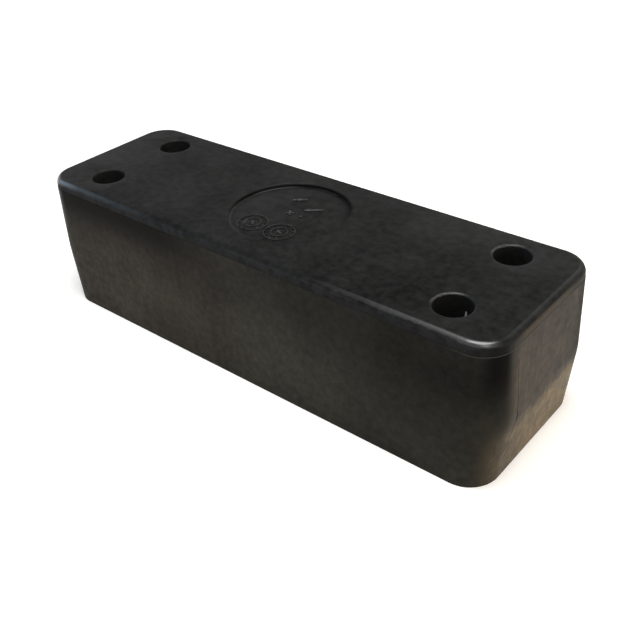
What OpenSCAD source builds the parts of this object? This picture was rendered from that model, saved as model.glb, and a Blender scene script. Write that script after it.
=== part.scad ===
// Trailer buffer: one solid rubber moulding, bolted to the rear of a trailer.
// The mounting face lies on Z = 0 and the outer face is on top. The length runs along X,
// and the origin is the centre of the mounting face. All sizes are in millimetres.

/* [Block] */
// Length over both ends
block_length = 450; // [380:5:600]
// Width over the long sides
block_width = 140; // [120:5:200]
// Height from the mounting face to the outer face
block_height = 120; // [90:5:160]
// Radius of the upright corners
corner_radius = 24; // [14:1:36]
// Radius of the rounded edge around the outer face
edge_radius = 5.5; // [3:0.5:8]

/* [Leaning ends] */
// Height above the mounting face below which the ends lean inwards
knee_height = 52; // [20:2:70]
// How far each end has come in at the mounting face
end_inset = 7; // [2:0.5:14]

/* [Parting line] */
// Distance of the mould's parting line below the rounded edge
parting_gap = 3.5; // [1:0.5:6]
// Width of the ledge that the parting line leaves
parting_ledge = 0.3; // [0.1:0.1:0.8]

/* [Bolt holes] */
// Distance from a hole's axis to the end of the block
hole_from_end = 50; // [35:1:70]
// Distance from a hole's axis to the long side
hole_from_side = 31; // [24:1:36]
// Diameter of the hole for the bolt's shank
shank_hole_d = 17.5; // [10.5:0.5:22]
// Diameter of the wider bore for the bolt's head
head_bore_d = 27.5; // [24:0.5:34]
// Height of the head's seat above the mounting face
head_seat = 40; // [20:1:60]
// Radius that rounds the mouth of the head bore
mouth_radius = 1.5; // [0.5:0.25:3]

/* [Marking recess] */
// Diameter of the round recess in the outer face
recess_d = 97; // [84:1:100]
// Depth of the recess
recess_depth = 1.5; // [1:0.1:3]
// Radius that rounds the rim of the recess
recess_lip = 0.6; // [0.2:0.1:0.9]
// Width of the groove around the recess's floor
groove_width = 2.5; // [1:0.5:4]
// Depth of that groove below the floor
groove_depth = 0.5; // [0.2:0.1:1]
// Height of the raised marks above the floor
mark_relief = 0.6; // [0.2:0.1:0.9]

/* [Date dials] */
// Outer diameter of a dial
dial_d = 25; // [22:1:28]
// Width of a dial's outer and inner rings, and of its ticks
dial_ring = 0.9; // [0.5:0.1:1.3]
// Free width between the two rings
dial_band = 4.6; // [3:0.1:5.4]
// Length of the ticks, which stand on the outer ring
tick_length = 1.9; // [1:0.1:2.8]
// Gap between the two dials
dial_gap = 2.4; // [1:0.2:4]
// Distance from a dial to the wall of the recess
dial_from_wall = 4.8; // [4.5:0.1:8]
// Number of ticks round a dial
dial_ticks = 12; // [8:1:16]
// Distance from a pointer's ends to the inner ring
pointer_clearance = 2.1; // [0.5:0.1:2.8]
// Width of the pointer's shaft
pointer_width = 1.6; // [1:0.1:2.4]
// Width of the pointer's head
pointer_head = 4; // [3:0.2:6]
// Direction of the left dial's pointer, from the length of the block
left_pointer_turn = 127; // [0:1:359]
// Direction of the right dial's pointer
right_pointer_turn = 152; // [0:1:359]

/* [Plain bars and centre marks] */
// Length of the left bar
left_bar_length = 12; // [8:1:18]
// Length of the right bar
right_bar_length = 16; // [8:1:20]
// Width of both bars, which have round ends
bar_width = 3; // [2:0.2:4.4]
// Direction of both bars and of the small cross, from the length of the block
bar_turn = 36; // [0:1:90]
// How far the left bar's middle lies to the left of the recess's centre
left_bar_x = 8; // [6:1:14]
// How far it lies from there towards the far side
left_bar_y = 22; // [16:1:26]
// How far the right bar's middle lies to the right of the recess's centre
right_bar_x = 13; // [8:1:18]
// How far it lies from there towards the far side
right_bar_y = 14; // [10:1:20]
// Span of the small cross at the centre
cross_span = 7; // [4:0.5:10]
// Width of the cross's arms
cross_width = 1.8; // [1:0.1:2.5]
// Diameter of the round pip beside the cross
pip_d = 2.4; // [1.5:0.1:4]
// Distance from the cross to the pip
pip_offset = 11; // [8:0.5:14]

/* [Hidden] */
$fn = 96;

// How far cutters pass the faces that they open, and how deep marks are rooted
overrun = 1;

hole_x = block_length / 2 - hole_from_end;
hole_y = block_width / 2 - hole_from_side;
parting_height = block_height - edge_radius - parting_gap;
lean_angle = atan(end_inset / knee_height);
// Longer than the block in every direction, so that a leaning side cuts only its own end
lean_span = 2 * (block_length + block_height);

floor_height = block_height - recess_depth;
dial_x = (dial_d + dial_gap) / 2;
dial_reach = (recess_d - dial_d) / 2 - dial_from_wall;
dial_y = -sqrt(dial_reach * dial_reach - dial_x * dial_x);
dial_inner_d = dial_d - 2 * (dial_ring + dial_band);
pointer_length = dial_inner_d - 2 * (dial_ring + pointer_clearance);

// Plan of a block with round corners
module plan(length, width, radius) {
    square([length, width - 2 * radius], center = true);
    square([length - 2 * radius, width], center = true);
    for (x = [-1, 1], y = [-1, 1])
        translate([x * (length / 2 - radius), y * (width / 2 - radius)])
            circle(radius);
}

// Half section of a wall whose top outer edge is rounded
module edge_section(reach, height, radius) {
    square([reach, height - radius]);
    square([reach - radius, height]);
    translate([reach - radius, height - radius])
        intersection() {
            circle(radius);
            square(radius);
        }
}

// Whole section, from one rounded edge to the other
module bar_section(width, height, radius) {
    for (side = [0, 1])
        mirror([side, 0])
            edge_section(width / 2, height, radius);
}

// Block with round corners and a rounded top edge that runs all the way round
module edged_block(length, width, height, corner, edge) {
    straight_x = length - 2 * corner;
    straight_y = width - 2 * corner;
    rotate([90, 0, 90])
        linear_extrude(straight_x, center = true)
            bar_section(width, height, edge);
    rotate([90, 0, 0])
        linear_extrude(straight_y, center = true)
            bar_section(length, height, edge);
    for (x = [-1, 1], y = [-1, 1])
        translate([x * straight_x / 2, y * straight_y / 2, 0])
            rotate_extrude()
                edge_section(corner, height, edge);
}

// All that lies on the block's side of one leaning end, corners included
module leaning_side(side) {
    translate([side * block_length / 2, 0, knee_height])
        rotate([0, side * lean_angle, 0])
            linear_extrude(lean_span, center = true)
                translate([-side * lean_span / 2, 0])
                    plan(lean_span, block_width, corner_radius);
}

// Upright body up to the parting line, and the slightly smaller cap above it
module body() {
    linear_extrude(parting_height)
        plan(block_length, block_width, corner_radius);
    edged_block(
        block_length - 2 * parting_ledge,
        block_width - 2 * parting_ledge,
        block_height,
        corner_radius - parting_ledge,
        edge_radius
    );
}

// Half section of a round pit with a rounded mouth in the outer face
module pit_section(radius, floor_z, lip) {
    translate([0, floor_z])
        square([radius, block_height - floor_z + overrun]);
    difference() {
        translate([0, block_height - lip])
            square([radius + lip, lip + overrun]);
        translate([radius + lip, block_height - lip])
            circle(lip);
    }
}

// Space of one stepped bolt hole: shank hole, head bore and rounded mouth
module bolt_hole() {
    rotate_extrude() {
        translate([0, -overrun])
            square([shank_hole_d / 2, head_seat + 2 * overrun]);
        pit_section(head_bore_d / 2, head_seat, mouth_radius);
    }
}

// Space of the marking recess, with the groove around its floor
module marking_recess() {
    rotate_extrude() {
        pit_section(recess_d / 2, floor_height, recess_lip);
        translate([recess_d / 2 - groove_width, floor_height - groove_depth])
            square([groove_width, groove_depth + recess_depth]);
    }
}

// Raises a flat mark from the floor of the recess
module raised() {
    translate([0, 0, floor_height - overrun])
        linear_extrude(overrun + mark_relief)
            children();
}

module ring(diameter) {
    difference() {
        circle(d = diameter);
        circle(d = diameter - 2 * dial_ring);
    }
}

module pointer(turn) {
    tip = pointer_length / 2;
    rotate(turn) {
        translate([-tip / 2, 0])
            square([tip + dial_ring / 2, pointer_width], center = true);
        polygon([[0, -pointer_head / 2], [tip, 0], [0, pointer_head / 2]]);
    }
}

// Date dial: two rings, ticks that stand on the outer one, and a pointer
module date_dial(turn) {
    ring(dial_d);
    ring(dial_inner_d);
    pointer(turn);
    for (i = [0 : dial_ticks - 1])
        rotate(i * 360 / dial_ticks)
            translate([dial_d / 2 - dial_ring - tick_length, -dial_ring / 2])
                square([tick_length + dial_ring / 2, dial_ring]);
}

module bar(length) {
    straight = length - bar_width;
    rotate(bar_turn) {
        square([straight, bar_width], center = true);
        for (side = [-1, 1])
            translate([side * straight / 2, 0])
                circle(d = bar_width);
    }
}

module centre_marks() {
    rotate(bar_turn) {
        square([cross_span, cross_width], center = true);
        square([cross_width, cross_span], center = true);
    }
    translate([pip_offset, 0])
        circle(d = pip_d);
}

module marks() {
    raised() {
        translate([-dial_x, dial_y])
            date_dial(left_pointer_turn);
        translate([dial_x, dial_y])
            date_dial(right_pointer_turn);
        translate([-left_bar_x, left_bar_y])
            bar(left_bar_length);
        translate([right_bar_x, right_bar_y])
            bar(right_bar_length);
        centre_marks();
    }
}

module buffer_block() {
    color("#2c2b29") {
        difference() {
            intersection() {
                body();
                leaning_side(1);
                leaning_side(-1);
            }
            for (x = [-1, 1], y = [-1, 1])
                translate([x * hole_x, y * hole_y, 0])
                    bolt_hole();
            marking_recess();
        }
        marks();
    }
}

buffer_block();
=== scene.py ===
"""Trailer buffer: the looks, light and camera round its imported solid.

The buffer is one rubber moulding. A block with leaning ends carries a cap with a rounded edge above
a parting ledge. Four stepped bolt holes go right through, and a shallow round recess in the outer
face holds raised moulding marks. All lengths are in metres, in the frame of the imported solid.
"""

import logging
from contextlib import contextmanager
from dataclasses import dataclass, field
from enum import Enum
from math import atan2, cos, hypot, pi, radians, sin
from typing import Any, Callable, Iterator, NamedTuple, Sequence

import bmesh
import bpy
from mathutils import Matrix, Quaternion, Vector


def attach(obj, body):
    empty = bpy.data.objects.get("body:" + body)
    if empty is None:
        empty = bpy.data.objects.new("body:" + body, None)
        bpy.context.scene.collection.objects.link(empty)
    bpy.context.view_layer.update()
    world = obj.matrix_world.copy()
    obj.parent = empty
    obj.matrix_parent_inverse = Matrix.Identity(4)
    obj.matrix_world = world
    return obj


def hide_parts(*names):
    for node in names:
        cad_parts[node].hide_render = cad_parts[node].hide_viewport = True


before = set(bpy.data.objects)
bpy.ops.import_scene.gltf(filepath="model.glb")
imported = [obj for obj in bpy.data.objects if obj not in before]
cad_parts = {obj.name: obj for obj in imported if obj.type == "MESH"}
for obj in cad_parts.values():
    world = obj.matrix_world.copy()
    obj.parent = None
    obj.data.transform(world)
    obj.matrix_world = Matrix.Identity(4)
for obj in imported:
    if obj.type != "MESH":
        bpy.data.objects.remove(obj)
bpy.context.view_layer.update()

NODE = "buffer_block"
BODY = "root"

# Distance below which two places are the same
TINY = 1e-5
# How far cutters pass the faces that they open
OVERRUN = 0.001
# Least agreement of a face's normal with the direction that it faces
FACING = 0.9
# Where the axes of the four holes stand, from the middle of the block
HOLE_X = 0.175
HOLE_Y = 0.039

log = logging.getLogger("trailer_buffer")

Piece = bpy.types.Object
# What an input takes: a value or a signal
Feed = Any
Colour = tuple[float, float, float, float]
Point = tuple[float, float, float]
# Two places or two sizes that belong together
Pair = tuple[float, float]
# Where a fade starts and ends, and its values there if they aren't nought and one
Ramp = tuple[float, ...]
# Where a mask starts to rise, is full, starts to fall and ends
Band = tuple[float, float, float, float]


class Part(Enum):
    """Kind of element that a choice in edit mode picks."""

    VERTICES = "VERT"
    EDGES = "EDGE"
    FACES = "FACE"


class Joining(Enum):
    """How a boolean joins a helper solid to a piece."""

    CUT = "DIFFERENCE"
    ADD = "UNION"


class Side(Enum):
    """Direction of one end or one long side from the middle of the block."""

    LOW = -1
    HIGH = 1


class Face(Enum):
    """Kind of face of the moulding, by the place of its finish in the list of materials."""

    OUTER = 0
    SIDE = 1
    BORE = 2
    MOUNTING = 3


def pick(piece: Piece) -> None:
    """Makes a piece the only selected and the active object.

    Args:
        piece: The object that the next operators act on.
    """
    bpy.ops.object.select_all(action="DESELECT")
    piece.select_set(True)
    bpy.context.view_layer.objects.active = piece


def settle(piece: Piece) -> None:
    """Moves an object's place, turn and scale into its mesh."""
    pick(piece)
    bpy.ops.object.transform_apply(location=True, rotation=True, scale=True)


def primitive(name: str, add: Callable[..., Any], stretch: Point = (1.0, 1.0, 1.0), **settings: Any) -> Piece:
    """Adds a primitive whose object is at the origin, unturned and unscaled.

    Args:
        name: Name for the new object.
        add: The operator that adds it.
        stretch: Scale along each of its own axes.
        **settings: The operator's settings.

    Returns:
        The new object.
    """
    bpy.ops.object.select_all(action="DESELECT")
    add(**settings)
    piece = bpy.context.active_object
    piece.name = name
    piece.scale = stretch
    settle(piece)
    return piece


def disc(name: str, radius: float, steps: int, turn: float = 0.0, place: Sequence[float] = (0, 0, 0)) -> Piece:
    """Adds a flat round face.

    Args:
        name: Name for the new object.
        radius: Its radius.
        steps: Number of corners.
        turn: How far it is turned, in radians.
        place: Where its middle lies.

    Returns:
        The flat face.
    """
    return primitive(name, bpy.ops.mesh.primitive_circle_add, vertices=steps, radius=radius,
                     fill_type="NGON", rotation=(0, 0, turn), location=place)


@contextmanager
def editing(piece: Piece) -> Iterator[None]:
    """Opens a piece in edit mode for the length of a with block.

    Args:
        piece: The object to open.
    """
    pick(piece)
    bpy.ops.object.mode_set(mode="EDIT")
    try:
        yield
    finally:
        bpy.ops.object.mode_set(mode="OBJECT")


def choose(piece: Piece, part: Part, test: Callable[[Any], bool]) -> None:
    """Selects in edit mode the elements that pass a test, and nothing else.

    Args:
        piece: The object that is open in edit mode.
        part: Whether vertices, edges or faces are tested.
        test: Takes a vertex, edge or face and says whether it is wanted.
    """
    bpy.ops.mesh.select_mode(type=part.value)
    bpy.ops.mesh.select_all(action="DESELECT")
    form = bmesh.from_edit_mesh(piece.data)
    form.normal_update()
    pool = {Part.VERTICES: form.verts, Part.EDGES: form.edges, Part.FACES: form.faces}[part]
    for item in [item for item in pool if test(item)]:
        item.select_set(True)
    form.select_flush_mode()
    bmesh.update_edit_mesh(piece.data)


def choose_all(part: Part | None = None) -> None:
    """Selects the whole mesh in edit mode.

    Args:
        part: Kind of element to work with from here on, if that changes.
    """
    if part is not None:
        bpy.ops.mesh.select_mode(type=part.value)
    bpy.ops.mesh.select_all(action="SELECT")


def draw_out(step: Sequence[float]) -> None:
    """Extrudes what is selected by one step."""
    bpy.ops.mesh.extrude_region_move(TRANSFORM_OT_translate={"value": step})


def at_height(height: float) -> Callable[[Any], bool]:
    """Makes a test for edges that lie at one height."""
    return lambda edge: all(abs(v.co.z - height) < TINY for v in edge.verts)


def tidy_shell(piece: Piece, merge: float = 1e-6) -> None:
    """Merges doubles and points the faces of a closed shell outwards.

    Args:
        piece: The object to tidy.
        merge: Distance below which vertices become one.
    """
    with editing(piece):
        choose_all()
        bpy.ops.mesh.remove_doubles(threshold=merge)
        bpy.ops.mesh.normals_make_consistent(inside=False)


def alter(piece: Piece, kind: str, **settings: Any) -> None:
    """Adds a modifier to a piece, sets it and applies it.

    Args:
        piece: The object that is changed.
        kind: Blender's name for the modifier's type.
        **settings: The modifier's settings.
    """
    pick(piece)
    bpy.ops.object.modifier_add(type=kind)
    modifier = piece.modifiers[-1]
    for name, value in settings.items():
        setattr(modifier, name, value)
    bpy.ops.object.modifier_apply(modifier=modifier.name)


def combine(piece: Piece, helper: Piece, joining: Joining) -> None:
    """Cuts a helper solid out of a piece, or adds it, and removes the helper.

    Args:
        piece: The object that is changed.
        helper: The solid that is cut out or added.
        joining: Which of the two is done.
    """
    alter(piece, "BOOLEAN", operation=joining.value, solver="EXACT", use_self=joining is Joining.ADD, object=helper)
    bpy.data.objects.remove(helper)


def gather(pieces: Sequence[Piece], name: str) -> Piece:
    """Joins several objects into one.

    Args:
        pieces: The objects to join.
        name: Name of the joined object.

    Returns:
        The joined object.
    """
    pick(pieces[0])
    for piece in pieces:
        piece.select_set(True)
    bpy.ops.object.join()
    joined = bpy.context.active_object
    joined.name = name
    return joined


def turned(name: str, profile: Sequence[Pair], place: Pair, steps: int) -> Piece:
    """Spins a half section round an upright axis into a closed solid.

    Args:
        name: Name of the new object.
        profile: Radius and height of each corner of the half section, from axis to axis.
        place: Where the axis stands.
        steps: Number of steps round the axis.

    Returns:
        The turned solid.
    """
    radius, height = profile[0]
    half = 0.001
    piece = primitive(name, bpy.ops.mesh.primitive_plane_add, size=2 * half, location=(half + radius, half, height))
    with editing(piece):
        start = Vector((radius, 0.0, height))
        choose(piece, Part.VERTICES, lambda v: (v.co - start).length > TINY)
        bpy.ops.mesh.delete(type="VERT")
        choose_all()
        for (r0, z0), (r1, z1) in zip(profile, profile[1:]):
            bpy.ops.mesh.extrude_vertices_move(TRANSFORM_OT_translate={"value": (r1 - r0, 0.0, z1 - z0)})
        choose_all()
        bpy.ops.mesh.spin(steps=steps, angle=2 * pi, center=(0.0, 0.0, 0.0), axis=(0.0, 0.0, 1.0))
        choose_all()
        bpy.ops.transform.translate(value=(*place, 0.0))
    tidy_shell(piece)
    return piece


def mouth_arc(radius: float, lip: float, top: float, steps: int) -> list[Pair]:
    """Half section of a rounded mouth that flares out to the face above it.

    Args:
        radius: Radius of the pit or bore below the mouth.
        lip: Radius of the rounding.
        top: Height of the face.
        steps: Number of chords in the arc.

    Returns:
        Radius and height of each point, from the wall up to the face.
    """
    turns = [pi - i * pi / 2 / steps for i in range(steps + 1)]
    return [(radius + lip + lip * cos(t), top - lip + lip * sin(t)) for t in turns]


@dataclass
class BlockBody:
    """The block itself: leaning ends, upright corners, parting ledge and rounded edge."""

    length: float = 0.450
    width: float = 0.140
    height: float = 0.120
    corner_radius: float = 0.024
    edge_radius: float = 0.0055
    knee_height: float = 0.052
    knee_softness: float = 0.006
    end_inset: float = 0.007
    parting_gap: float = 0.0035
    parting_ledge: float = 0.0003
    corner_steps: int = 14
    edge_steps: int = 9
    grid_step: float = 0.015
    unevenness: float = 0.00016
    dimple_size: float = 0.055
    flat_foot: float = 0.002
    rows: tuple[float, ...] = (0.012, 0.024, 0.036, 0.046, 0.049, 0.052, 0.055, 0.058, 0.072, 0.086, 0.1)

    @property
    def parting_height(self) -> float:
        """Height of the parting ledge."""
        return self.height - self.edge_radius - self.parting_gap

    @property
    def straight(self) -> Pair:
        """How far the straight part of the sides and of the ends reaches from the middle."""
        return self.length / 2 - self.corner_radius, self.width / 2 - self.corner_radius

    @property
    def slope(self) -> float:
        """How far an end comes in over a height of one, below the knee."""
        return self.end_inset / self.knee_height

    def end_shift(self, height: float) -> float:
        """How far an end has come in at one height, with the knee softened.

        Args:
            height: Height above the mounting face.

        Returns:
            The shift towards the middle of the block.
        """
        soft = self.knee_softness
        if height >= self.knee_height + soft:
            return 0.0
        if height <= self.knee_height - soft:
            return self.slope * (self.knee_height - height)
        return self.slope * (self.knee_height + soft - height) ** 2 / (4 * soft)

    def build(self) -> Piece:
        """Models the block without its holes and marks.

        Returns:
            The block as one closed mesh.
        """
        base = self.parting_height
        block = primitive("moulded_block", bpy.ops.mesh.primitive_cube_add, (self.length, self.width, base),
                          size=1, location=(0, 0, base / 2))
        with editing(block):
            self._round_corners(block)
            self._raise_cap(block)
            self._cut_grid()
            self._lean_ends(block)
        self._loosen(block)
        tidy_shell(block)
        return block

    def _round_corners(self, block: Piece) -> None:
        """Rounds the four upright corners."""
        choose(block, Part.EDGES, lambda e: abs(e.verts[0].co.z - e.verts[1].co.z) > self.parting_height / 2)
        bpy.ops.mesh.bevel(offset=self.corner_radius, segments=self.corner_steps, affect="EDGES")

    def _raise_cap(self, block: Piece) -> None:
        """Insets the upper face for the ledge, raises the cap and rounds its edge.

        Args:
            block: The block, open in edit mode.
        """
        ledge = self.parting_height
        choose(block, Part.FACES, lambda f: f.normal.z > FACING and abs(f.calc_center_median().z - ledge) < TINY)
        bpy.ops.mesh.inset(thickness=self.parting_ledge)
        draw_out((0, 0, self.height - ledge))
        choose(block, Part.EDGES, at_height(self.height))
        bpy.ops.mesh.bevel(offset=self.edge_radius, segments=self.edge_steps, affect="EDGES")

    def _cut_grid(self) -> None:
        """Cuts the faces into an even grid, so that they can be slightly uneven."""
        cuts = []
        for axis, reach in enumerate(self.straight):
            steps = round(2 * reach / self.grid_step)
            cuts += [(axis, -reach + i * 2 * reach / steps) for i in range(1, steps)]
        cuts += [(2, height) for height in self.rows]
        for axis, place in cuts:
            normal = Vector([float(i == axis) for i in range(3)])
            choose_all()
            bpy.ops.mesh.bisect(plane_co=normal * place, plane_no=normal)

    def _lean_ends(self, block: Piece) -> None:
        """Moves each row of both ends in, below a softened knee.

        Args:
            block: The block, open in edit mode.
        """
        start = self.straight[0] - TINY
        for height in (0.0, *self.rows):
            shift = self.end_shift(height)
            if shift > 0.0:
                for side in Side:
                    choose(block, Part.VERTICES,
                           lambda v: abs(v.co.z - height) < TINY and v.co.x * side.value > start)
                    bpy.ops.transform.translate(value=(-side.value * shift, 0.0, 0.0))

    def _loosen(self, block: Piece) -> None:
        """Lets the walls and the outer face sink in slightly, as a cooled moulding's do.

        Args:
            block: The block.
        """
        pattern = bpy.data.textures.new("shrinkage", "CLOUDS")
        pattern.noise_scale = self.dimple_size
        pattern.noise_depth = 1
        above = block.vertex_groups.new(name="above_mounting_face")
        above.add([v.index for v in block.data.vertices if v.co.z > self.flat_foot], 1.0, "REPLACE")
        alter(block, "DISPLACE", texture=pattern, texture_coords="LOCAL", vertex_group=above.name,
              mid_level=1.0, strength=self.unevenness)
        block.vertex_groups.clear()


@dataclass
class BoltHole:
    """One stepped hole: shank hole, head bore and rounded mouth."""

    x: float
    y: float
    top: float
    shank_radius: float = 0.00875
    bore_radius: float = 0.01375
    seat_height: float = 0.040
    mouth_radius: float = 0.0015
    mouth_steps: int = 5
    steps: int = 72

    def cutter(self) -> Piece:
        """Builds the space of the hole.

        Returns:
            The solid to cut out.
        """
        profile = [
            (0.0, -OVERRUN),
            (self.shank_radius, -OVERRUN),
            (self.shank_radius, self.seat_height),
            (self.bore_radius, self.seat_height),
            *mouth_arc(self.bore_radius, self.mouth_radius, self.top, self.mouth_steps),
            (self.bore_radius + self.mouth_radius, self.top + OVERRUN),
            (0.0, self.top + OVERRUN),
        ]
        return turned("bolt_hole_space", profile, (self.x, self.y), self.steps)


@dataclass
class MarkingRecess:
    """The round recess in the outer face, with a groove round its floor."""

    top: float
    radius: float = 0.0485
    depth: float = 0.0015
    lip: float = 0.0006
    lip_steps: int = 4
    groove_width: float = 0.0025
    groove_depth: float = 0.0005
    groove_slope: float = 0.0008
    groove_fillet: float = 0.0003
    steps: int = 144

    @property
    def floor(self) -> float:
        """Height of the floor that carries the marks."""
        return self.top - self.depth

    def cutter(self) -> Piece:
        """Builds the space of the recess.

        Returns:
            The solid to cut out.
        """
        inner = self.radius - self.groove_width
        low = self.floor - self.groove_depth
        profile = [
            (0.0, self.floor),
            (inner - self.groove_slope, self.floor),
            (inner + self.groove_slope, low),
            (self.radius - self.groove_fillet, low),
            (self.radius, low + self.groove_fillet),
            *mouth_arc(self.radius, self.lip, self.top, self.lip_steps),
            (self.radius + self.lip, self.top + OVERRUN),
            (0.0, self.top + OVERRUN),
        ]
        return turned("recess_space", profile, (0.0, 0.0), self.steps)


@dataclass
class RaisedMark:
    """What all raised marks share: they stand on the floor of the recess."""

    floor: float
    relief: float = 0.0006
    root: float = 0.0004
    softening: float = 0.00013

    def raise_up(self, mark: Piece, x: float, y: float, turn: float) -> Piece:
        """Gives a flat outline its height, softens its upper edges and puts it in place.

        Args:
            mark: Flat outline at the origin.
            x: Where the mark goes along the block.
            y: Where it goes across the block.
            turn: How far it is turned, in degrees.

        Returns:
            The finished mark.
        """
        rise = self.relief + self.root
        with editing(mark):
            choose_all(Part.FACES)
            draw_out((0, 0, rise))
            choose_all()
            bpy.ops.mesh.normals_make_consistent(inside=False)
        with editing(mark):
            choose(mark, Part.EDGES,
                   lambda e: at_height(rise)(e) and len(e.link_faces) == 2 and e.calc_face_angle() > 1.0)
            bpy.ops.mesh.bevel(offset=self.softening, segments=2, affect="EDGES")
        mark.rotation_euler.z = radians(turn)
        mark.location = (x, y, self.floor - self.root)
        settle(mark)
        return mark


@dataclass
class DateDial(RaisedMark):
    """One date dial: two rings, ticks that stand inwards from the outer one, and a pointer."""

    x: float = 0.0
    y: float = 0.0
    pointer_turn: float = 0.0
    radius: float = 0.0125
    ring: float = 0.0009
    band: float = 0.0046
    tick: float = 0.0019
    tick_reach: float = 1.0
    ticks: int = 12
    outer_steps: int = 96
    inner_steps: int = 60
    pointer_length: float = 0.0080
    pointer_width: float = 0.0016
    pointer_head: float = 0.0040

    def build(self) -> list[Piece]:
        """Models the dial.

        Returns:
            Outer ring with its ticks, inner ring and pointer.
        """
        outer = self._ring("dial_outer_ring", self.radius, self.outer_steps)
        inner = self._ring("dial_inner_ring", self.radius - self.ring - self.band, self.inner_steps)
        outer = self.raise_up(outer, self.x, self.y, 0.0)
        self._stand_ticks(outer)
        inner = self.raise_up(inner, self.x, self.y, 0.0)
        return [outer, inner, self.raise_up(self._arrow(), self.x, self.y, self.pointer_turn)]

    def _ring(self, name: str, radius: float, steps: int) -> Piece:
        """Makes a flat ring.

        Args:
            name: Name of the ring.
            radius: Outer radius.
            steps: Number of steps round it.

        Returns:
            The flat ring, at the origin.
        """
        ring = disc(name, radius, steps, pi / steps)
        with editing(ring):
            choose_all(Part.FACES)
            bpy.ops.mesh.inset(thickness=self.ring)
            bpy.ops.mesh.delete(type="FACE")
        return ring

    def _stand_ticks(self, ring: Piece) -> None:
        """Draws the ticks inwards out of the ring's inner wall.

        Args:
            ring: The raised outer ring, in place.
        """
        centre = Vector((self.x, self.y, 0.0))
        gap = 2 * pi / self.ticks

        def on_tick(face: Any) -> bool:
            """Tests whether a face of the inner wall lies where a tick stands.

            Args:
                face: A face of the ring.

            Returns:
                Whether a tick grows out of it.
            """
            away = face.calc_center_median() - centre
            away.z = 0.0
            turn = atan2(away.y, away.x) % gap
            return face.normal.dot(away.normalized()) < -FACING and min(turn, gap - turn) < radians(self.tick_reach)

        with editing(ring):
            choose(ring, Part.FACES, on_tick)
            bpy.ops.mesh.extrude_faces_move(TRANSFORM_OT_shrink_fatten={"value": self.tick})

    def _arrow(self) -> Piece:
        """Makes the flat outline of the pointer.

        Returns:
            The outline, with its middle at the origin.
        """
        half, head = self.pointer_length / 2, self.pointer_head
        arrow = primitive("dial_pointer", bpy.ops.mesh.primitive_plane_add, (half, head, 1),
                          size=1, location=(half / 2, 0, 0))
        with editing(arrow):
            choose(arrow, Part.VERTICES, lambda v: v.co.x > half / 2)
            bpy.ops.mesh.merge(type="CENTER")
            choose(arrow, Part.EDGES, lambda e: all(v.co.x < TINY for v in e.verts))
            bpy.ops.mesh.subdivide(number_cuts=2)
            choose(arrow, Part.EDGES, lambda e: all(v.co.x < TINY and abs(v.co.y) < head / 4 for v in e.verts))
            bpy.ops.transform.resize(value=(1, self.pointer_width * 3 / head, 1), center_override=(0, 0, 0))
            draw_out((-half, 0, 0))
        return arrow


@dataclass
class PlainBar(RaisedMark):
    """A plain bar with round ends."""

    x: float = 0.0
    y: float = 0.0
    length: float = 0.012
    width: float = 0.003
    turn: float = 36.0
    steps: int = 28

    def build(self) -> list[Piece]:
        """Models the bar.

        Returns:
            The bar, as a list of one.
        """
        straight = (self.length - self.width) / 2
        bar = disc("plain_bar", self.width / 2, self.steps, pi / self.steps)
        with editing(bar):
            for side in Side:
                choose(bar, Part.VERTICES, lambda v: v.co.x * side.value > TINY)
                bpy.ops.transform.translate(value=(side.value * straight, 0.0, 0.0))
        return [self.raise_up(bar, self.x, self.y, self.turn)]


@dataclass
class CentreMarks(RaisedMark):
    """The small cross at the centre, and the round pip beside it."""

    span: float = 0.007
    arm: float = 0.0018
    turn: float = 36.0
    pip_radius: float = 0.0012
    pip_offset: float = 0.011
    pip_steps: int = 20

    def build(self) -> list[Piece]:
        """Models the cross and the pip.

        Returns:
            Both marks.
        """
        cross = primitive("centre_cross", bpy.ops.mesh.primitive_plane_add, size=self.arm)
        reach, half = (self.span - self.arm) / 2, self.arm / 2
        with editing(cross):
            for way in (Vector((1, 0, 0)), Vector((-1, 0, 0)), Vector((0, 1, 0)), Vector((0, -1, 0))):
                choose(cross, Part.EDGES,
                       lambda e: all(abs(v.co.dot(way) - half) < TINY and v.co.length < self.arm for v in e.verts))
                draw_out(way * reach)
        pip = disc("centre_pip", self.pip_radius, self.pip_steps)
        return [self.raise_up(cross, 0, 0, self.turn), self.raise_up(pip, self.pip_offset, 0, 0)]


@dataclass
class SeamLine:
    """The fine line that the mould has left down one end."""

    side: Side
    body: BlockBody
    half_width: float = 0.00035
    route: tuple[Pair, ...] = (
        (-0.0410, 0.1005), (-0.0396, 0.0840), (-0.0378, 0.0660), (-0.0372, 0.0500),
        (-0.0400, 0.0380), (-0.0455, 0.0290), (-0.0500, 0.0220), (-0.0508, 0.0100),
    )

    def cutter(self) -> Piece:
        """Builds a thin four-sided rod along the line.

        Returns:
            The solid to cut out.
        """
        half = self.body.length / 2
        points = [Vector((self.side.value * (half - self.body.end_shift(z)), y, z)) for y, z in self.route]
        rod = disc("seam_space", self.half_width, 4, place=points[0])
        with editing(rod):
            choose_all()
            for start, end in zip(points, points[1:]):
                draw_out(end - start)
        tidy_shell(rod)
        return rod


@dataclass
class Nick:
    """A small nick in the edge of the block."""

    place: Point
    size: Point
    lumpiness: float = 0.25
    seed: int = 4

    def cutter(self) -> Piece:
        """Builds the lumpy space of the nick.

        Returns:
            The solid to cut out.
        """
        nick = primitive("nick_space", bpy.ops.mesh.primitive_ico_sphere_add, self.size,
                         subdivisions=2, radius=1.0, location=self.place)
        with editing(nick):
            choose_all()
            bpy.ops.transform.vertex_random(offset=min(self.size) * self.lumpiness, seed=self.seed)
        return nick


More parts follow.
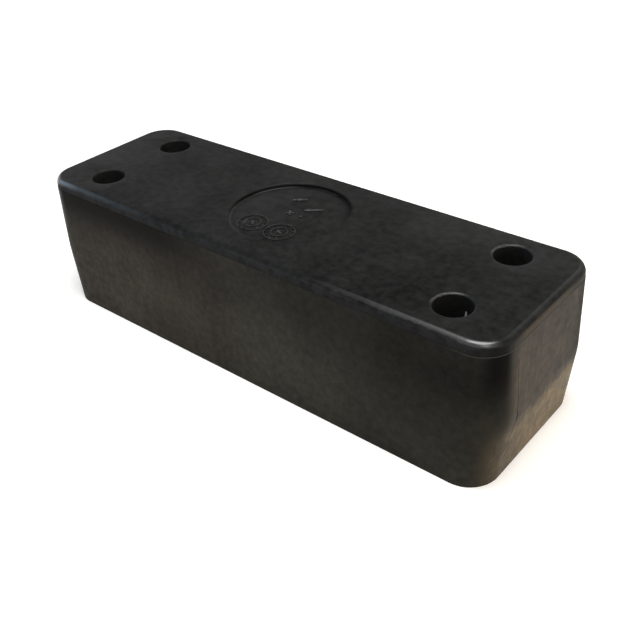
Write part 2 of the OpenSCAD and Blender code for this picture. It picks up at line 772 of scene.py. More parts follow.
@dataclass
class FlashSliver:
    """The thin sliver of rubber left standing at the mouth of one hole."""

    root: Point = (0.1879, -0.0447, 0.1176)
    heading: Pair = (-0.48, 0.88)
    width: float = 0.0021
    thickness: float = 0.0005
    taper: float = 0.80
    steps: tuple[Pair, ...] = (
        (0.0009, 0.0002), (0.0013, 0.0004), (0.0013, 0.0005), (0.0012, 0.0004), (0.0009, 0.0001),
    )

    def build(self) -> Piece:
        """Models the sliver as a tapering strip that reaches inwards and slightly up.

        Returns:
            The sliver.
        """
        way = Vector((*self.heading, 0.0)).normalized()
        sliver = primitive("flash_sliver", bpy.ops.mesh.primitive_plane_add, (self.thickness, self.width, 1),
                           size=1, location=self.root, rotation=(0, radians(90), atan2(way.y, way.x)))
        tip = Vector(self.root)
        with editing(sliver):
            choose_all(Part.FACES)
            for along, up in self.steps:
                step = way * along + Vector((0.0, 0.0, up))
                tip += step
                draw_out(step)
                bpy.ops.transform.resize(value=(self.taper, self.taper, self.taper), center_override=tip)
        tidy_shell(sliver)
        return sliver


class NodeBoard:
    """Puts nodes on one tree and joins their sockets."""

    def __init__(self, tree: bpy.types.NodeTree) -> None:
        """Takes over a tree."""
        self.tree = tree

    def put(self, kind: str, feeds: dict[Any, Feed] | None = None, **settings: Any) -> bpy.types.Node:
        """Adds a node.

        Args:
            kind: Blender's name for the node type.
            feeds: Input name or number to a value or to the signal that feeds it.
            **settings: The node's own settings.

        Returns:
            The new node.
        """
        node = self.tree.nodes.new(kind)
        for name, value in settings.items():
            setattr(node, name, value)
        for name, feed in (feeds or {}).items():
            self.feed(node.inputs[name], feed)
        return node

    def feed(self, socket: bpy.types.NodeSocket, feed: Feed) -> None:
        """Gives an input its value, or joins it to a signal.

        Args:
            socket: The input.
            feed: A value or a signal.
        """
        if isinstance(feed, Signal):
            self.tree.links.new(feed.socket, socket)
        else:
            socket.default_value = feed

    def signal(self, kind: str, feeds: dict[Any, Feed] | None = None, output: Any = 0, **settings: Any) -> "Signal":
        """Adds a node and takes one of its outputs.

        Args:
            kind: Blender's name for the node type.
            feeds: Input name or number to what feeds it.
            output: Name or number of the output.
            **settings: The node's own settings.

        Returns:
            The output.
        """
        return Signal(self, self.put(kind, feeds, **settings).outputs[output])

    def maths(self, operation: str, *terms: Feed) -> "Signal":
        """Works on one or two numbers."""
        return self.signal("ShaderNodeMath", dict(enumerate(terms)), operation=operation)

    def mix(self, factor: Feed, first: Feed, second: Feed) -> "Signal":
        """Mixes two numbers by a factor."""
        return self.signal("ShaderNodeMix", {0: factor, 2: first, 3: second})

    def blend(self, factor: Feed, first: Feed, second: Feed) -> "Signal":
        """Blends two colours by a factor."""
        return self.signal("ShaderNodeMix", {0: factor, 6: first, 7: second}, 2, data_type="RGBA")

    def distance(self, x: "Signal", y: "Signal") -> "Signal":
        """Length of a way that goes x along and y across."""
        return self.maths("SQRT", self.maths("POWER", x, 2.0) + self.maths("POWER", y, 2.0))

    def noise(self, vector: Feed, scale: Feed, detail: float = 3.0, roughness: float = 0.5) -> "Signal":
        """Adds smooth noise.

        Args:
            vector: Where the noise is read.
            scale: How fine it is.
            detail: Number of finer layers.
            roughness: Strength of the finer layers.

        Returns:
            The noise, between 0 and 1.
        """
        feeds = {"Vector": vector, "Scale": scale, "Detail": detail, "Roughness": roughness}
        return self.signal("ShaderNodeTexNoise", feeds, "Fac")


class Signal:
    """What a node puts out. Arithmetic on it adds further nodes to the same tree."""

    def __init__(self, board: NodeBoard, socket: bpy.types.NodeSocket) -> None:
        """Takes over an output socket."""
        self.board = board
        self.socket = socket

    def __add__(self, other: Feed) -> "Signal":
        """The sum."""
        return self.board.maths("ADD", self, other)

    def __sub__(self, other: Feed) -> "Signal":
        """The difference."""
        return self.board.maths("SUBTRACT", self, other)

    def __rsub__(self, other: float) -> "Signal":
        """What is left of a number."""
        return self.board.maths("SUBTRACT", other, self)

    def __mul__(self, other: Feed) -> "Signal":
        """The product."""
        return self.board.maths("MULTIPLY", self, other)

    def __truediv__(self, other: Feed) -> "Signal":
        """The quotient."""
        return self.board.maths("DIVIDE", self, other)

    def size(self) -> "Signal":
        """The number without its sign."""
        return self.board.maths("ABSOLUTE", self)

    def at_least(self, other: Feed) -> "Signal":
        """The larger of this and another number."""
        return self.board.maths("MAXIMUM", self, other)

    def clamped(self) -> "Signal":
        """The number, kept between nought and one."""
        return self.board.signal("ShaderNodeClamp", {"Value": self})

    def fade(self, start: float, end: float, low: float = 0.0, high: float = 1.0) -> "Signal":
        """Fades smoothly from one number to another while this one runs over a range.

        Args:
            start: Where the fade begins.
            end: Where it ends.
            low: Result up to the start.
            high: Result from the end on.

        Returns:
            The faded number.
        """
        feeds = {"Value": self, "From Min": start, "From Max": end, "To Min": low, "To Max": high}
        return self.board.signal("ShaderNodeMapRange", feeds, "Result", interpolation_type="SMOOTHSTEP")

    def band(self, rise: float, full: float, fall: float, end: float) -> "Signal":
        """Mask that rises from nought to one over the first two places and falls over the last two."""
        return self.fade(rise, full) * self.fade(end, fall)


def fresh_board(owner: bpy.types.Material | bpy.types.World) -> NodeBoard:
    """Switches a material or a world to nodes and starts with an empty tree.

    Args:
        owner: The material or world.

    Returns:
        Its tree.
    """
    owner.use_nodes = True
    owner.node_tree.nodes.clear()
    return NodeBoard(owner.node_tree)


@dataclass
class Spot:
    """A point of the block's skin, as the nodes of one material see it, with its colour so far."""

    board: NodeBoard
    colour: Feed
    position: Signal
    end_face: Signal
    corner: Signal
    along: Signal
    across: Signal
    height: Signal
    from_hole: Signal
    from_centre: Signal
    rounded_edge: Signal
    edge_turn: Signal

    def stain(self, mask: Feed, colour: Feed) -> None:
        """Lays another colour over the one so far, where the mask says so."""
        self.colour = self.board.blend(mask, self.colour, colour)

    def noise(self, scale: float, detail: float = 3.0, roughness: float = 0.5) -> Signal:
        """Smooth noise at this point."""
        return self.board.noise(self.position, scale, detail, roughness)

    def drawn(self, x: float, y: float, z: float) -> Signal:
        """The point's place, scaled along each axis."""
        return self.board.signal("ShaderNodeMapping", {"Vector": self.position, "Scale": (x, y, z)})

    def shared(self, effect: "SharedEffect", **values: float) -> Signal:
        """Puts a shared effect in the material.

        Args:
            effect: The effect.
            **values: Its own values there, by the names of its inputs in small letters.

        Returns:
            The effect's first output.
        """
        feeds = {name.replace("_", " ").title(): value for name, value in values.items()}
        return effect.place(self.board, {"Vector": self.position, **feeds})[0]


class SharedEffect:
    """A node group that several finishes place, each with its own values."""

    name = ""
    numbers: dict[str, float] = {}
    outputs: tuple[str, ...] = ()

    def tree(self) -> bpy.types.NodeTree:
        """Builds the group on its first use.

        Returns:
            The group's tree.
        """
        made = bpy.data.node_groups.get(self.name)
        if made is not None:
            return made
        tree = bpy.data.node_groups.new(self.name, "ShaderNodeTree")
        tree.interface.new_socket(name="Vector", in_out="INPUT", socket_type="NodeSocketVector")
        for name, value in self.numbers.items():
            number = tree.interface.new_socket(name=name, in_out="INPUT", socket_type="NodeSocketFloat")
            number.default_value = value
        for name in self.outputs:
            tree.interface.new_socket(name=name, in_out="OUTPUT", socket_type="NodeSocketFloat")
        board = NodeBoard(tree)
        given = [Signal(board, socket) for socket in board.put("NodeGroupInput").outputs if socket.name]
        board.put("NodeGroupOutput", dict(enumerate(self.wire(board, *given))))
        return tree

    def wire(self, board: NodeBoard, vector: Signal, *values: Signal) -> Sequence[Signal]:
        """Joins the group's nodes.

        Args:
            board: The group's tree.
            vector: Place on the object.
            *values: The group's other inputs.

        Returns:
            What the group puts out.
        """
        raise NotImplementedError

    def place(self, board: NodeBoard, feeds: dict[str, Feed]) -> list[Signal]:
        """Puts the group in a material.

        Args:
            board: The material's tree.
            feeds: The group's own values there.

        Returns:
            The group's outputs.
        """
        node = board.put("ShaderNodeGroup", node_tree=self.tree())
        for name, feed in feeds.items():
            board.feed(node.inputs[name], feed)
        return [Signal(board, socket) for socket in node.outputs]


class CloudedBloom(SharedEffect):
    """Soft uneven cover of bloom and dust, in large clouds with finer mottling."""

    name = "clouded_bloom"
    numbers = {"Cloud Scale": 14.0, "Mottle Scale": 90.0, "Mottle Share": 0.4, "Contrast": 1.0}
    outputs = ("Cover",)

    def wire(self, board: NodeBoard, vector: Signal, *values: Signal) -> Sequence[Signal]:
        """Adds two sizes of noise and spreads their middle range.

        Args:
            board: The group's tree.
            vector: Place on the object.
            *values: The group's other inputs.

        Returns:
            The cover.
        """
        cloud_scale, mottle_scale, mottle_share, contrast = values
        clouds = board.noise(vector, cloud_scale, 4.0, 0.55)
        mottle = board.noise(vector, mottle_scale, 5.0, 0.62)
        both = board.mix(mottle_share, clouds, mottle)
        return [((both - 0.5) * (contrast * 3.0) + 0.5).clamped()]


class MouldGrain(SharedEffect):
    """Height of a moulded rubber skin: fine grain on a slight waviness."""

    name = "mould_grain"
    numbers = {"Grain Scale": 900.0, "Wave Scale": 70.0, "Wave Share": 0.6}
    outputs = ("Height",)

    def wire(self, board: NodeBoard, vector: Signal, *values: Signal) -> Sequence[Signal]:
        """Mixes a fine and a coarse noise.

        Args:
            board: The group's tree.
            vector: Place on the object.
            *values: The group's other inputs.

        Returns:
            The height.
        """
        grain_scale, wave_scale, wave_share = values
        grain = board.noise(vector, grain_scale, 2.0, 0.6)
        waves = board.noise(vector, wave_scale, 2.0, 0.45)
        return [board.mix(wave_share, grain, waves)]


class LooseSpecks(SharedEffect):
    """Scattered small specks of dust or of torn skin."""

    name = "loose_specks"
    numbers = {"Scale": 120.0, "Share": 0.1, "Size": 0.12}
    outputs = ("Mask",)

    def wire(self, board: NodeBoard, vector: Signal, *values: Signal) -> Sequence[Signal]:
        """Keeps the middle of a few cells of a cell pattern.

        Args:
            board: The group's tree.
            vector: Place on the object.
            *values: The group's other inputs.

        Returns:
            Mask of the specks.
        """
        scale, share, size = values
        cells = board.put("ShaderNodeTexVoronoi", {"Vector": vector, "Scale": scale})
        lot = board.signal("ShaderNodeSeparateColor", {0: Signal(board, cells.outputs["Color"])})
        dot = (Signal(board, cells.outputs["Distance"]) / size).fade(1.0, 0.35)
        return [board.maths("LESS_THAN", lot, share) * dot]


class BlockPlace(SharedEffect):
    """Says where on the block a point lies, from its place alone."""

    name = "block_place"
    outputs = ("End Face", "Corner", "Along", "Across", "Height",
               "From Hole", "From Centre", "Rounded Edge", "Edge Turn")

    def __init__(self, body: BlockBody) -> None:
        """Takes the sizes that the masks follow."""
        self.body = body

    def wire(self, board: NodeBoard, vector: Signal, *values: Signal) -> Sequence[Signal]:
        """Works out each distance and mask.

        Args:
            board: The group's tree.
            vector: Place on the object.
            *values: None here.

        Returns:
            All of them, in the order of the outputs.
        """
        body = self.body
        x, y, z = (Signal(board, socket) for socket in board.put("ShaderNodeSeparateXYZ", {0: vector}).outputs)
        away_x, away_y = x.size(), y.size()
        lean = (body.knee_height - z).at_least(0.0) * body.slope
        from_end = body.length / 2 - lean - away_x
        from_side = body.width / 2 - away_y
        under_knee = z.fade(body.knee_height + 0.010, body.knee_height - 0.020)
        flat_end = board.mix(under_knee, away_y.fade(0.055, 0.037), away_y.fade(0.068, 0.052))
        straight_x, straight_y = body.straight
        reach_x, reach_y = (away_x - straight_x).at_least(0.0), (away_y - straight_y).at_least(0.0)
        reach = board.distance(reach_x, reach_y)
        rim = reach.fade(body.corner_radius - body.edge_radius, body.corner_radius - body.edge_radius * 0.75)
        return [
            from_end.fade(0.013, 0.009) * flat_end,
            from_end.fade(0.016, 0.004) * from_side.fade(0.0215, 0.0160),
            x,
            y,
            z,
            board.distance(away_x - HOLE_X, away_y - HOLE_Y),
            board.distance(x, y),
            rim,
            reach_y / reach.at_least(0.001),
        ]


class Skin(NamedTuple):
    """What varies over a face besides its colour."""

    roughness: Signal
    height: Signal
    coat: Feed = 0.0


@dataclass(frozen=True)
class RubberFinish:
    """What every face of the rubber shares. Each kind of face adds its own colour and gloss."""

    name: str
    dark: Colour
    pale: Colour
    roughness: float
    grain_depth: float
    gloss: float = 0.1
    coat_roughness: float = 0.42

    def material(self, block_place: BlockPlace) -> bpy.types.Material:
        """Builds the material.

        Args:
            block_place: Says where on the block a point lies.

        Returns:
            The finished material.
        """
        material = bpy.data.materials.new(self.name)
        board = fresh_board(material)
        position = board.signal("ShaderNodeTexCoord", output="Object")
        spot = Spot(board, self.dark, position, *block_place.place(board, {"Vector": position}))
        skin = self.dress(spot)
        feeds = {"Strength": 1.0, "Distance": self.grain_depth, "Height": skin.height}
        shader = board.signal("ShaderNodeBsdfPrincipled", {
            "Base Color": spot.colour,
            "Roughness": skin.roughness,
            "Normal": board.signal("ShaderNodeBump", feeds),
            "Specular IOR Level": self.gloss,
            "Coat Weight": skin.coat,
            "Coat Roughness": self.coat_roughness,
        })
        board.put("ShaderNodeOutputMaterial", {"Surface": shader})
        return material

    def dress(self, spot: Spot) -> Skin:
        """Colours a face and says how its skin varies.

        Args:
            spot: A point of the face, in the finish's dark colour.

        Returns:
            What varies besides the colour.
        """
        raise NotImplementedError


@dataclass(frozen=True)
class PaintedRimLightShade:
    """Painted light and shade on one ring round the recess's centre, strongest in one direction; each use paints one of
    the two.
    """

    ring: Band
    heading: Pair
    spread: Ramp

    def mask(self, spot: Spot) -> Signal:
        """Says how strong the painted light and shade are.

        Args:
            spot: A point of the face.

        Returns:
            Share of the painted light and shade there.
        """
        away = spot.from_centre
        agreed = (spot.along * self.heading[0] + spot.across * self.heading[1]) / away.at_least(0.001)
        return away.band(*self.ring) * agreed.fade(*self.spread)


@dataclass(frozen=True)
class OuterFaceFinish(RubberFinish):
    """The outer face with its rounded edge, recess and marks."""

    # Pale colour of real wear, specks and smears, also used for painted light in the groove and painted highlights
    # beyond the far lip and on the hole lips
    wear_and_painted_light: Colour = (0.060, 0.060, 0.059, 1.0)
    # Lighter tone laid in patches on the lower part of the rounded edge along the sides
    lower_edge_tone: Colour = (0.0230, 0.0230, 0.0236, 1.0)
    # Beige at the ends of the edge's lower part: partly dust, partly painted light like the end faces
    edge_end_dust_and_painted_light: Colour = (0.0420, 0.0345, 0.0255, 1.0)
    # Painted light on the ledge at the ends, over the dark line that its inner corner would show
    ledge_painted_fill_light: Colour = (0.130, 0.105, 0.075, 1.0)
    # Painted dark reflection on the lower part of the rounded edge round the corners
    painted_dark_reflection: Colour = (0.0075, 0.0075, 0.0072, 1.0)
    # Painted shade on the far rim of the recess, on the floor before it and in a line inside the far left groove
    painted_shade: Colour = (0.0018, 0.0018, 0.0018, 1.0)
    polished: float = 0.30
    cloud_share: float = 0.6
    marks_reach: float = 0.0458
    marks_foot: float = 0.1189
    smear: Pair = (-0.0205, -0.0300)
    groove: Band = (0.0455, 0.0475, 0.0482, 0.0487)
    # Painted light and shade round the recess: a light and a dark line in the far left groove, shade on the far floor
    # and far lip, and a highlight just beyond the far left lip
    left_groove_painted_light: PaintedRimLightShade = PaintedRimLightShade((0.0455, 0.0475, 0.0482, 0.0487), (-0.82, 0.57), (0.86, 0.98, 0.0, 0.75))
    left_groove_painted_shade: PaintedRimLightShade = PaintedRimLightShade((0.0446, 0.0452, 0.0458, 0.0464), (-0.82, 0.57), (0.86, 0.98, 0.0, 0.7))
    far_floor_painted_shade: PaintedRimLightShade = PaintedRimLightShade((0.0400, 0.0475, 0.0487, 0.0491), (0.26, 0.97), (0.40, 0.85, 0.0, 0.75))
    far_lip_painted_shade: PaintedRimLightShade = PaintedRimLightShade((0.0478, 0.0486, 0.0498, 0.0508), (-0.42, 0.91), (-0.05, 0.45, 0.0, 0.80))
    beyond_lip_painted_highlight: PaintedRimLightShade = PaintedRimLightShade((0.0503, 0.0512, 0.0518, 0.0532), (-0.70, 0.71), (0.80, 0.97, 0.0, 0.16))
    ledge: Band = (0.11102, 0.11108, 0.11112, 0.11150)
    hole_lip: Band = (0.0138, 0.0143, 0.0150, 0.0164)
    lip_heading: Pair = (-0.80, 0.60)

    def dress(self, spot: Spot) -> Skin:
        """Smooth satin with faint clouds, a polished edge, marks with wear, and painted light and shade round the
        recess and on the rounded edge.

        Args:
            spot: A point of the face.

        Returns:
            What varies besides the colour.
        """
        cover = spot.shared(CloudedBloom(), cloud_scale=18.0, mottle_scale=150.0, mottle_share=0.55, contrast=1.5)
        # Clouds of bloom, with a painted sheen and lighter and darker places laid by the place share
        spot.stain((cover * self.cloud_share + self._bloom_and_painted_light_share(spot)).clamped(), self.pale)
        spot.stain(spot.shared(LooseSpecks(), scale=95.0, share=0.06, size=0.07) * 0.5, self.wear_and_painted_light)
        spot.stain(self._mark_wear(spot), self.wear_and_painted_light)
        smear = spot.board.distance(spot.along - self.smear[0], spot.across - self.smear[1]).fade(0.0045, 0.0010)
        spot.stain(smear * spot.noise(650.0).fade(0.46, 0.60, 0.0, 0.5), self.wear_and_painted_light)
        self._paint_recess_rim_light_and_shade(spot)
        self._colour_lower_edge(spot)
        polish = self._polish_edge(spot).at_least(self._finish_mouths(spot))
        roughness = spot.board.mix(polish, self.roughness, self.polished) + (cover - 0.5) * 0.08
        return Skin(roughness, spot.shared(MouldGrain(), grain_scale=700.0, wave_scale=120.0, wave_share=0.7), polish)

    def _bloom_and_painted_light_share(self, spot: Spot) -> Signal:
        """Lightens the face towards the left end and, as a painted sheen, towards the far right corner, and darkens it
        beside the near long side, right of the middle.

        Args:
            spot: A point of the face.

        Returns:
            Share of the pale colour that the place alone gives.
        """
        thin = spot.board.distance((spot.along - 0.085) / 0.14, (spot.across + 0.055) / 0.075)
        # Painted sheen: lighter towards the far right corner
        far_right = spot.along.fade(0.02, 0.14, 0.0, 0.33) * spot.across.fade(0.005, 0.070)
        left = spot.along.fade(-0.130, -0.215, 0.0, 0.33) * spot.across.fade(0.040, 0.062, 1.0, 0.4)
        return thin.fade(0.2, 1.1, -0.03, 0.08) + far_right + left

    def _mark_wear(self, spot: Spot) -> Signal:
        """Wears the tops of the marks unevenly, and those in the near half less.

        Args:
            spot: A point of the face.

        Returns:
            Mask of the wear.
        """
        maths = spot.board.maths
        on_mark = maths("LESS_THAN", spot.from_centre, self.marks_reach)
        on_mark = on_mark * maths("GREATER_THAN", spot.height, self.marks_foot)
        patches = spot.noise(260.0).fade(0.35, 0.6, 0.30, 1.0) * spot.noise(95.0, 2.0).fade(0.36, 0.56, 0.50, 1.0)
        return on_mark * patches * spot.across.fade(-0.014, -0.006, 0.50, 1.0)

    def _paint_recess_rim_light_and_shade(self, spot: Spot) -> None:
        """Paints shade on the far rim of the recess and on the floor before it, painted light in the near groove and in
        the far left groove with a painted shade line inside it, and a painted highlight just beyond the far left lip.

        Args:
            spot: A point of the face.
        """
        # Painted light that lifts the near groove, where its wall would show as a dark line, and the far left groove
        near_groove_painted_light = spot.from_centre.band(*self.groove) * spot.across.fade(0.010, -0.030, 0.0, 0.28)
        spot.stain(near_groove_painted_light.at_least(self.left_groove_painted_light.mask(spot)), self.wear_and_painted_light)
        # Painted shade line inside the far left groove
        spot.stain(self.left_groove_painted_shade.mask(spot), self.painted_shade)
        # Painted shade on the far floor and the far lip of the recess
        spot.stain(self.far_floor_painted_shade.mask(spot).at_least(self.far_lip_painted_shade.mask(spot)), self.painted_shade)
        # Painted highlight just beyond the far left lip
        spot.stain(self.beyond_lip_painted_highlight.mask(spot), self.wear_and_painted_light)

    def _colour_lower_edge(self, spot: Spot) -> None:
        """Colours the lower part of the rounded edge: beige at the ends, partly dust and partly painted light, painted
        light on the ledge at the ends, a lighter tone in patches along the sides and painted dark reflection round the
        corners.

        Args:
            spot: A point of the face.
        """
        height, turn, across = spot.height, spot.edge_turn, spot.across
        beige = height.fade(0.1172, 0.1160) * turn.fade(0.12, 0.0)
        # Beige at the ends: partly dust, partly painted light
        spot.stain(beige * across.fade(0.018, 0.040, 1.0, 0.35) * across.fade(-0.046, -0.030, 0.3, 1.0), self.edge_end_dust_and_painted_light)
        # Painted light on the ledge at the ends
        spot.stain(height.band(*self.ledge) * turn.fade(0.05, 0.35, 0.85, 0.0), self.ledge_painted_fill_light)
        side = height.fade(0.1186, 0.1168) * turn.fade(0.05, 0.35)
        patches = spot.noise(150.0, 4.0, 0.6).fade(0.36, 0.64, 0.45, 1.0) * spot.along.fade(0.070, 0.150, 1.0, 0.72)
        # Lighter tone in patches along the sides, less towards the right
        spot.stain(side * patches, self.lower_edge_tone)
        # Painted dark reflection round the corners
        spot.stain(side * spot.corner, self.painted_dark_reflection)

    def _polish_edge(self, spot: Spot) -> Signal:
        """Masks the upper part of the rounded edge, which is rubbed shiny towards the ends.

        Args:
            spot: A point of the face.

        Returns:
            Mask of the shiny band, with a ragged lower border.
        """
        along, height, turn = spot.along, spot.height, spot.edge_turn
        border = (spot.noise(230.0, 3.0, 0.6) - 0.5) * 0.0022 + height + along.fade(0.060, 0.110, 0.0, 0.0004)
        border = border + along.fade(-0.04, -0.14, 0.0, 0.0028) + along.fade(0.185, 0.212, 0.0, 0.0010)
        left = along.fade(-0.160, -0.222).at_least(along.fade(-0.060, -0.200, 0.0, 0.24))
        left = left * height.fade(0.1198, 0.1188, 0.2, 1.0)
        at_side = border.fade(0.1181, 0.1191) * along.fade(0.055, 0.172).at_least(left)
        at_side = at_side * spot.across.fade(0.020, -0.020, 0.12, 1.0)
        past_corner = turn.fade(0.84, 0.72) * height.fade(0.1193, 0.1198, 0.0, 0.55)
        at_end = height.fade(0.1184, 0.1197, 0.08, 0.40) * turn.fade(0.15, 0.45, 1.0, 0.25)
        return spot.rounded_edge * spot.board.mix(turn.fade(0.42, 0.72), at_end, at_side * (1.0 - past_corner))

    def _finish_mouths(self, spot: Spot) -> Signal:
        """Lays dust and a painted highlight on the lip of each hole and rubs it slightly shiny, all most on its far
        left.

        Args:
            spot: A point of the face.

        Returns:
            Mask of the shiny lip.
        """
        def beyond_axis(place: Signal, axis: float) -> Signal:
            """How far a place lies past the axis on its own side of the middle."""
            return (place.size() - axis) * spot.board.maths("SIGN", place)

        off_x, off_y = beyond_axis(spot.along, HOLE_X), beyond_axis(spot.across, HOLE_Y)
        far_left = off_x * self.lip_heading[0] + off_y * self.lip_heading[1]
        # Dust and painted highlight on the lip, strongest on its far left
        dust = far_left.fade(0.005, 0.014, 0.05, 0.95) * spot.along.fade(-0.1, 0.1, 0.12, 1.0)
        dust = dust * spot.noise(420.0).fade(0.36, 0.62, 0.45, 1.0)
        spot.stain(spot.from_hole.band(*self.hole_lip) * dust, self.wear_and_painted_light)
        shine = far_left.fade(0.002, 0.013, 0.015, 0.22) * spot.along.fade(-0.1, 0.1, 0.2, 1.0)
        return spot.from_hole.fade(0.0158, 0.0150) * shine


@dataclass(frozen=True)
class SideFinish(RubberFinish):
    """The long sides and the ends below the parting ledge."""

    pale_right: Colour = (0.0605, 0.0572, 0.0466, 1.0)
    # Colour of the ends, partly dust and partly painted light; below the knee it turns to painted light
    end_dust_and_painted_light: Colour = (0.0670, 0.0512, 0.0333, 1.0)
    end_low_painted_light: Colour = (0.268, 0.187, 0.085, 1.0)
    # Painted highlight on the ledge near the right end
    painted_ledge_highlight: Colour = (0.060, 0.060, 0.058, 1.0)
    # Painted dark reflection on the upper part of each upright corner
    painted_dark_reflection: Colour = (0.0020, 0.0020, 0.0017, 1.0)
    ledge: Ramp = (0.1101, 0.1107)
    end_roughness: float = 0.42
    scar_place: Pair = (-0.0370, 0.051)
    scar_slimness: float = 0.2

    def dress(self, spot: Spot) -> Skin:
        """Warm bloom with painted light and shade on the sides; ends of dust with painted light, lighter still on their
        leaning part from painted light, and streaked.

        Args:
            spot: A point of the face.

        Returns:
            What varies besides the colour.
        """
        board, along, across, height = spot.board, spot.along, spot.across, spot.height
        cover = spot.shared(CloudedBloom(), cloud_scale=15.0, mottle_scale=170.0, mottle_share=0.50, contrast=1.15)
        # Bloom clouds with painted light and shade, as the share lays them
        spot.stain(self._bloom_and_painted_light_share(spot, cover), board.blend(along.fade(-0.08, 0.08), self.pale, self.pale_right))
        # Painted light on the leaning part of the ends below the knee, strongest at the end on the positive side and
        # away from the near side
        lower = ((spot.noise(60.0, 4.0, 0.6) - 0.5) * 0.014 + height).fade(0.050, 0.036)
        lower = lower * across.fade(-0.058, -0.010, 0.2, 1.0) * along.fade(-0.1, 0.1, 0.25, 1.0)
        end = board.blend(lower, self.end_dust_and_painted_light, self.end_low_painted_light)
        streaks = board.noise(spot.drawn(1.0, 1.0, 0.05), 420.0, 3.0, 0.6).fade(0.40, 0.66, 0.0, 0.28)
        blotches = spot.noise(105.0, 6.0, 0.68).fade(0.34, 0.66, 0.0, 0.30)
        for dirt in (streaks, cover * 0.66, blotches):
            end = board.blend(dirt, end, self.dark)
        spot.stain(spot.end_face, end)
        scar = board.distance(across - self.scar_place[0], (height - self.scar_place[1]) * self.scar_slimness)
        scar = scar.fade(0.0013, 0.0006, 0.0, 0.95) * along.fade(0.20, 0.21)
        spot.stain(scar, self.dark)
        # Painted dark reflection, darker up each upright corner, off the end faces
        spot.stain(spot.corner * height.fade(0.066, 0.098, 0.0, 0.95) * (1.0 - spot.end_face), self.painted_dark_reflection)
        # Painted highlight on the ledge, mostly near the right end
        spot.stain(height.fade(*self.ledge) * along.fade(0.180, 0.210, 0.04, 0.6), self.painted_ledge_highlight)
        left_corner = along.fade(-0.200, -0.216) * height.fade(0.062, 0.100)
        left_corner = left_corner * across.size().fade(0.044, 0.052, 0.0, 0.6)
        coat = (spot.end_face * (lower * 0.15 + 0.15)).at_least(left_corner) * (1.0 - scar)
        roughness = board.mix(spot.end_face, self.roughness, self.end_roughness) + (cover - 0.5) * 0.12
        return Skin(roughness, spot.shared(MouldGrain(), grain_scale=620.0, wave_scale=60.0, wave_share=0.6), coat)

    def _bloom_and_painted_light_share(self, spot: Spot, cover: Signal) -> Signal:
        """Share of the pale colour: clouds of bloom over painted light that grows towards the left and the foot, with
        painted shade under the edge.

        Args:
            spot: A point of the face.
            cover: Uneven cover, between 0 and 1.

        Returns:
            Share of the pale colour.
        """
        along, height = spot.along, spot.height
        # Painted light: lighter towards the left end and towards the foot, most at the lower left
        share = along.fade(0.20, -0.01, 0.17, 0.50)
        share = share + height.fade(0.100, 0.040) * height.fade(0.004, 0.028, 0.12, 0.16)
        share = share + along.fade(-0.04, -0.17, 0.0, 0.18) * height.fade(0.098, 0.055)
        # Painted shadow under the rounded edge at the left
        share = share - along.fade(0.0, -0.09, 0.0, 0.40) * height.fade(0.078, 0.107)
        # Painted light at the foot of the right end
        share = share + along.fade(0.10, 0.215) * height.fade(0.040, 0.006, 0.0, 0.20)
        # Painted light high up near the right end
        share = share + along.fade(0.14, 0.19) * height.fade(0.090, 0.108, 0.0, 0.09)
        return (share + (cover - 0.5) * (share * 0.85)).clamped()


@dataclass(frozen=True)
class BoreFinish(RubberFinish):
    """The walls and seats of the bolt holes: raw rubber with faint rings from the core pin."""

    def dress(self, spot: Spot) -> Skin:
        """Fine clouds of bloom over faint rings.

        Args:
            spot: A point of the wall.

        Returns:
            What varies besides the colour.
        """
        cover = spot.shared(CloudedBloom(), cloud_scale=60.0, mottle_scale=300.0)
        spot.stain(cover, self.pale)
        return Skin(cover * 0.1 + self.roughness, spot.board.noise(spot.drawn(0.05, 0.05, 1.0), 600.0, 2.0, 0.5))


@dataclass(frozen=True)
class MountingFaceFinish(RubberFinish):
    """The flat face that is bolted against the frame: dull, slightly dusty and evenly grained."""

    def dress(self, spot: Spot) -> Skin:
        """Broad clouds of dust on plain grain.

        Args:
            spot: A point of the face.

        Returns:
            What varies besides the colour.
        """
        cover = spot.shared(CloudedBloom(), cloud_scale=22.0, mottle_scale=200.0)
        spot.stain(cover, self.pale)
        return Skin(cover * 0.1 + self.roughness, spot.shared(MouldGrain(), grain_scale=500.0, wave_share=0.4))


